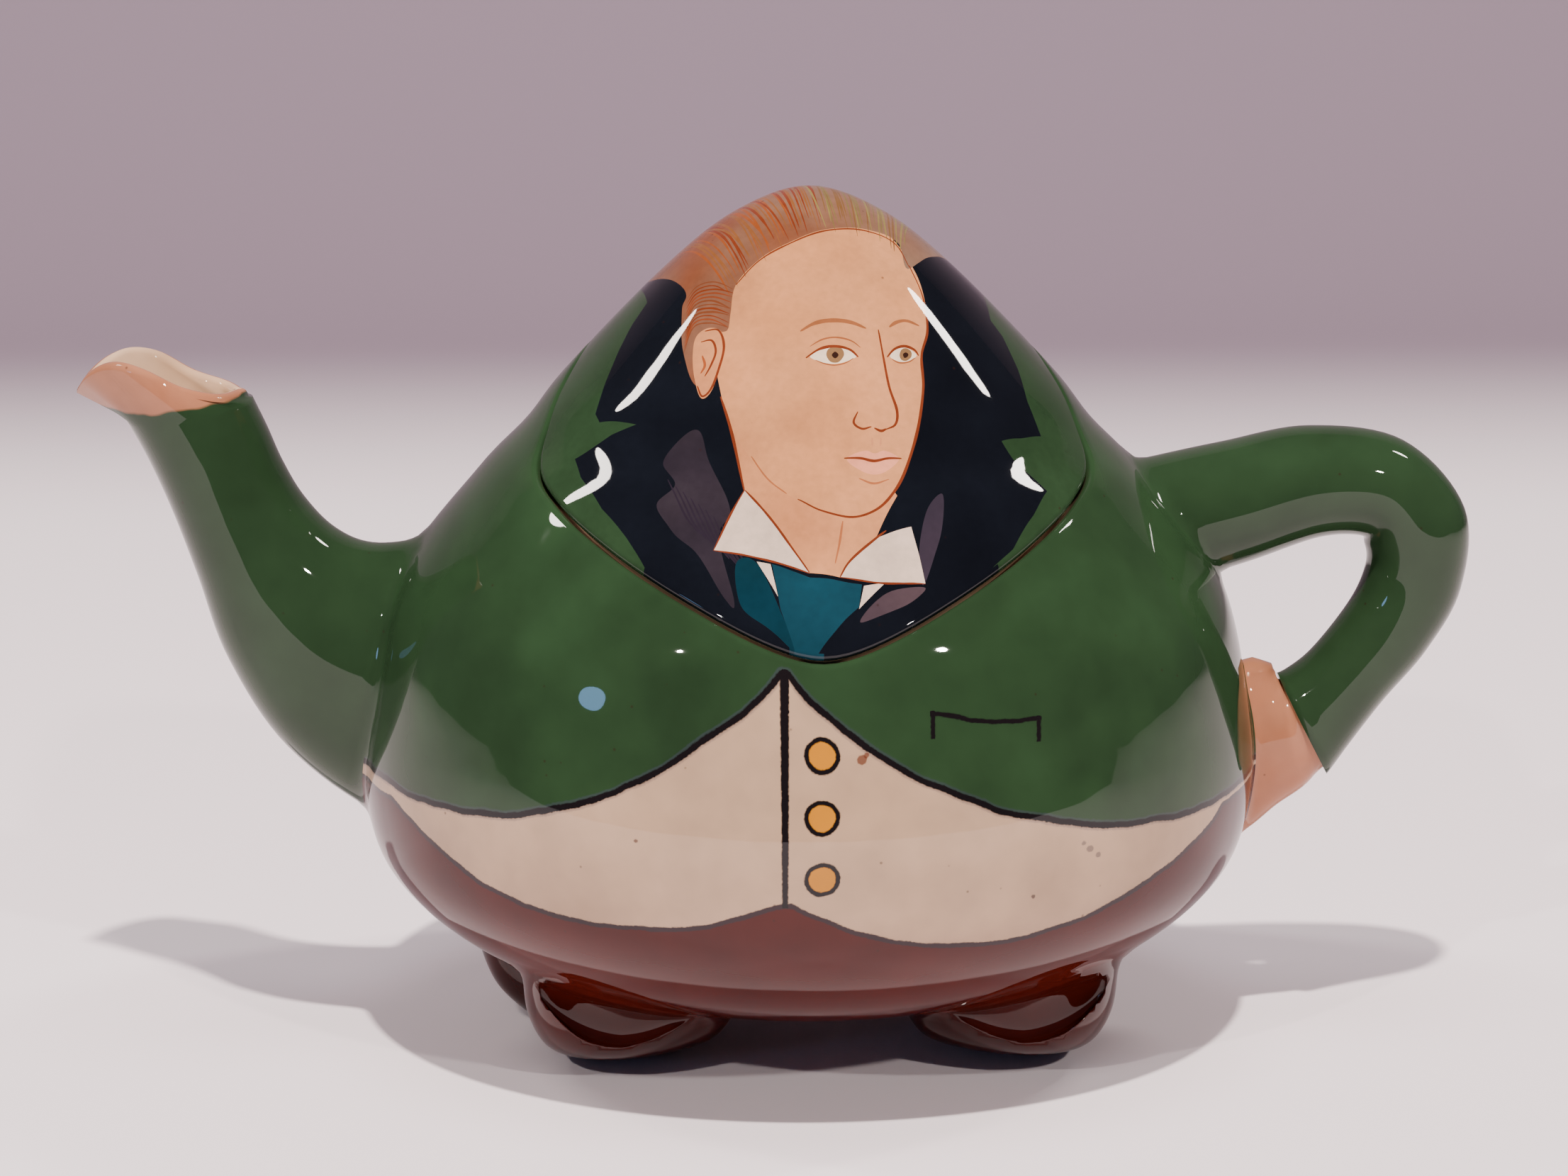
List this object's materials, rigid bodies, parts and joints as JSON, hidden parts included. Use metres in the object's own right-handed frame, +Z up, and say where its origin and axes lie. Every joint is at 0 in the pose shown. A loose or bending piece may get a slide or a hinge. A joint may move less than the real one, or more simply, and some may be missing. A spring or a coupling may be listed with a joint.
{
  "type": "figural teapot",
  "caption": "Glazed earthenware teapot shaped and painted as a round man in a green coat, with a painted head on the lid.",
  "frame": {"origin": "on the table, under the middle of the whole pot's box from spout tip to handle", "axes": "+Z up, -Y towards the painted front, -X towards the spout, +X towards the handle"},
  "size_m": [0.2024, 0.1124, 0.1265],
  "materials": {
    "glazed_green": "gloss",
    "glazed_brown": "gloss",
    "glazed_painting": "gloss"
  },
  "bodies": {
    "root": {"body": "glazed_green", "spout": "glazed_green", "handle": "glazed_green", "shoe_left": "glazed_brown", "shoe_right": "glazed_brown", "rear_foot_left": "glazed_brown", "rear_foot_right": "glazed_brown", "lid": "glazed_painting"}
  },
  "joints": []
}
